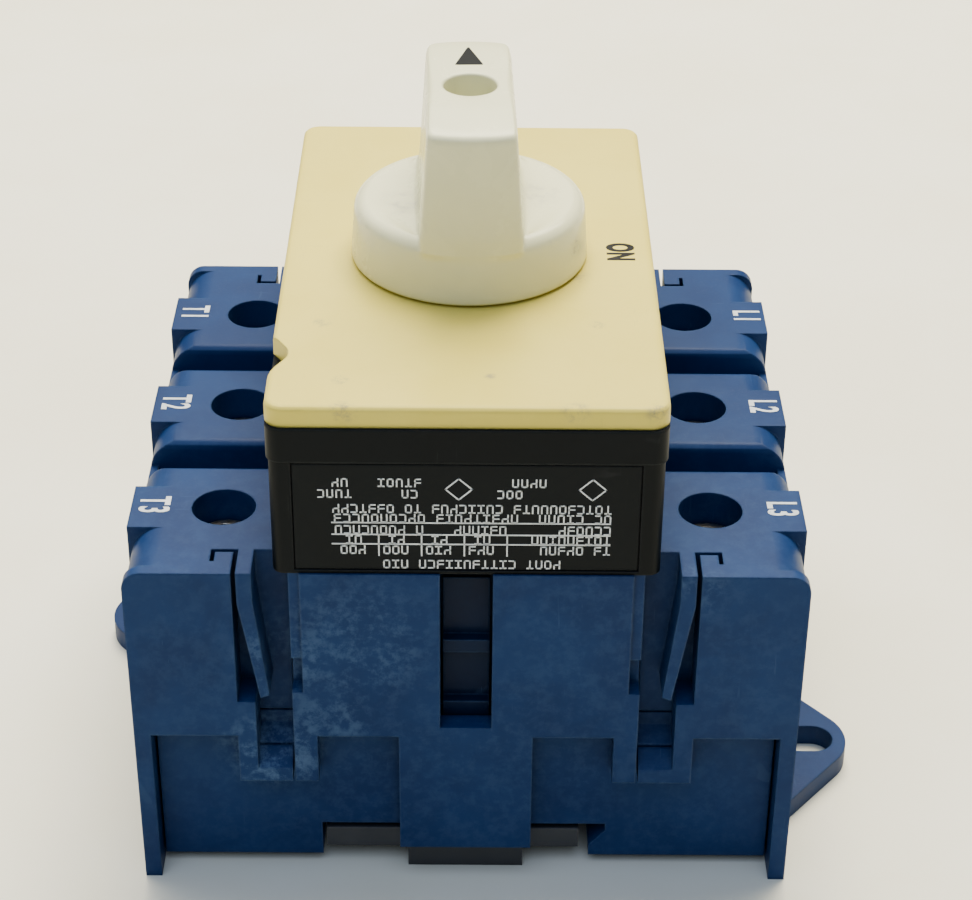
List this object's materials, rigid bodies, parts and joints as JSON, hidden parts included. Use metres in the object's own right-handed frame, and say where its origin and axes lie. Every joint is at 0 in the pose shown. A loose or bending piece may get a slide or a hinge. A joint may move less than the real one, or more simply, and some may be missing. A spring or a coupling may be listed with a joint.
{
  "type": "rotary disconnect switch",
  "caption": "Base-mounted rotary on-off switch with a turning handle, cover plate, hood and boxed screw terminals on both sides.",
  "frame": {"origin": "centre of the base on its mounting plane", "axes": "+X towards the line terminals, +Y along the poles from the third pole to the first, +Z out of the mounting plane towards the handle"},
  "size_m": [0.1, 0.075, 0.09],
  "materials": {
    "housing_blue": "satin moulded, fine grain",
    "foot_grey": "matte moulded",
    "hood_black": "satin moulded",
    "plate_cream": "semi-gloss, lightly scuffed",
    "label_black": "printed film",
    "handle_white": "gloss moulded",
    "marker_black": "printed",
    "screw_steel": "zinc plated",
    "shaft_steel": "bright drawn",
    "nylon": "natural nylon",
    "carrier_blue": "satin moulded",
    "spring_steel": "drawn wire",
    "copper": "tinned copper",
    "clamp_steel": "zinc plated"
  },
  "bodies": {
    "housing": {"base_housing": "housing_blue", "upper_housing": "housing_blue", "line_terminal_block": "housing_blue", "line_ear": "housing_blue", "load_terminal_block": "housing_blue", "load_ear": "housing_blue", "foot_plate": "foot_grey", "hood": "hood_black", "front_plate": "plate_cream", "rating_label": "label_black", "shaft_bush": "nylon", "return_spring_near": "spring_steel", "return_spring_far": "spring_steel", "line_terminal_1": "copper", "load_terminal_1": "copper", "line_terminal_2": "copper", "load_terminal_2": "copper", "line_terminal_3": "copper", "load_terminal_3": "copper", "housing_screw_1": "screw_steel", "housing_screw_2": "screw_steel", "housing_screw_3": "screw_steel", "housing_screw_4": "screw_steel", "foot_screw_1": "screw_steel", "foot_screw_2": "screw_steel", "hood_screw_1": "screw_steel", "hood_screw_2": "screw_steel", "hood_screw_3": "screw_steel", "hood_screw_4": "screw_steel"},
    "rotor": {"handle": "handle_white", "arrow_marker": "marker_black", "handle_screw": "screw_steel", "drive_shaft": "shaft_steel", "lift_cam": "nylon"},
    "carrier": {"contact_carrier": "carrier_blue", "contact_spring_1": "spring_steel", "contact_spring_2": "spring_steel", "contact_spring_3": "spring_steel"},
    "bridge_1": {"bridge_contact_1": "copper"},
    "bridge_2": {"bridge_contact_2": "copper"},
    "bridge_3": {"bridge_contact_3": "copper"},
    "line_screw_1": {"line_screw_1": "screw_steel"},
    "line_clamp_1": {"line_clamp_1": "clamp_steel"},
    "load_screw_1": {"load_screw_1": "screw_steel"},
    "load_clamp_1": {"load_clamp_1": "clamp_steel"},
    "line_screw_2": {"line_screw_2": "screw_steel"},
    "line_clamp_2": {"line_clamp_2": "clamp_steel"},
    "load_screw_2": {"load_screw_2": "screw_steel"},
    "load_clamp_2": {"load_clamp_2": "clamp_steel"},
    "line_screw_3": {"line_screw_3": "screw_steel"},
    "line_clamp_3": {"line_clamp_3": "clamp_steel"},
    "load_screw_3": {"load_screw_3": "screw_steel"},
    "load_clamp_3": {"load_clamp_3": "clamp_steel"}
  },
  "joints": [
    {"name": "handle_turn", "type": "hinge", "parent": "housing", "child": "rotor", "pos_m": [0, 0, 0.07], "axis": [0, 0, -1], "range_deg": [0, 90]},
    {"name": "carrier_stroke", "type": "slide", "parent": "housing", "child": "carrier", "axis": [0, 0, -1], "range_m": [0, 0.005], "stiffness_N_per_m": 1000, "springref_m": -0.004, "deforming": ["return_spring_near", "return_spring_far"]},
    {"name": "bridge_1_press", "type": "slide", "parent": "carrier", "child": "bridge_1", "axis": [0, 0, 1], "range_m": [0, 0.001], "stiffness_N_per_m": 1500, "springref_m": -0.004, "deforming": ["contact_spring_1"]},
    {"name": "bridge_2_press", "type": "slide", "parent": "carrier", "child": "bridge_2", "axis": [0, 0, 1], "range_m": [0, 0.001], "stiffness_N_per_m": 1500, "springref_m": -0.004, "deforming": ["contact_spring_2"]},
    {"name": "bridge_3_press", "type": "slide", "parent": "carrier", "child": "bridge_3", "axis": [0, 0, 1], "range_m": [0, 0.001], "stiffness_N_per_m": 1500, "springref_m": -0.004, "deforming": ["contact_spring_3"]},
    {"name": "line_screw_1_turn", "type": "hinge", "parent": "housing", "child": "line_screw_1", "pos_m": [0.02895, 0.02366, 0.0402], "axis": [0, 0, -1], "range_deg": [0, 1800]},
    {"name": "line_clamp_1_lift", "type": "slide", "parent": "housing", "child": "line_clamp_1", "axis": [0, 0, 1], "range_m": [0, 0.004]},
    {"name": "load_screw_1_turn", "type": "hinge", "parent": "housing", "child": "load_screw_1", "pos_m": [-0.02895, 0.02366, 0.0402], "axis": [0, 0, -1], "range_deg": [0, 1800]},
    {"name": "load_clamp_1_lift", "type": "slide", "parent": "housing", "child": "load_clamp_1", "axis": [0, 0, 1], "range_m": [0, 0.004]},
    {"name": "line_screw_2_turn", "type": "hinge", "parent": "housing", "child": "line_screw_2", "pos_m": [0.02895, 0, 0.0402], "axis": [0, 0, -1], "range_deg": [0, 1800]},
    {"name": "line_clamp_2_lift", "type": "slide", "parent": "housing", "child": "line_clamp_2", "axis": [0, 0, 1], "range_m": [0, 0.004]},
    {"name": "load_screw_2_turn", "type": "hinge", "parent": "housing", "child": "load_screw_2", "pos_m": [-0.02895, 0, 0.0402], "axis": [0, 0, -1], "range_deg": [0, 1800]},
    {"name": "load_clamp_2_lift", "type": "slide", "parent": "housing", "child": "load_clamp_2", "axis": [0, 0, 1], "range_m": [0, 0.004]},
    {"name": "line_screw_3_turn", "type": "hinge", "parent": "housing", "child": "line_screw_3", "pos_m": [0.02895, -0.02366, 0.0402], "axis": [0, 0, -1], "range_deg": [0, 1800]},
    {"name": "line_clamp_3_lift", "type": "slide", "parent": "housing", "child": "line_clamp_3", "axis": [0, 0, 1], "range_m": [0, 0.004]},
    {"name": "load_screw_3_turn", "type": "hinge", "parent": "housing", "child": "load_screw_3", "pos_m": [-0.02895, -0.02366, 0.0402], "axis": [0, 0, -1], "range_deg": [0, 1800]},
    {"name": "load_clamp_3_lift", "type": "slide", "parent": "housing", "child": "load_clamp_3", "axis": [0, 0, 1], "range_m": [0, 0.004]}
  ],
  "couplings": [
    {"joint": "handle_turn", "follows": "carrier_stroke", "rad_per_m": 314.16},
    {"joint": "line_screw_1_turn", "follows": "line_clamp_1_lift", "rad_per_m": 7854},
    {"joint": "load_screw_1_turn", "follows": "load_clamp_1_lift", "rad_per_m": 7854},
    {"joint": "line_screw_2_turn", "follows": "line_clamp_2_lift", "rad_per_m": 7854},
    {"joint": "load_screw_2_turn", "follows": "load_clamp_2_lift", "rad_per_m": 7854},
    {"joint": "line_screw_3_turn", "follows": "line_clamp_3_lift", "rad_per_m": 7854},
    {"joint": "load_screw_3_turn", "follows": "load_clamp_3_lift", "rad_per_m": 7854}
  ]
}
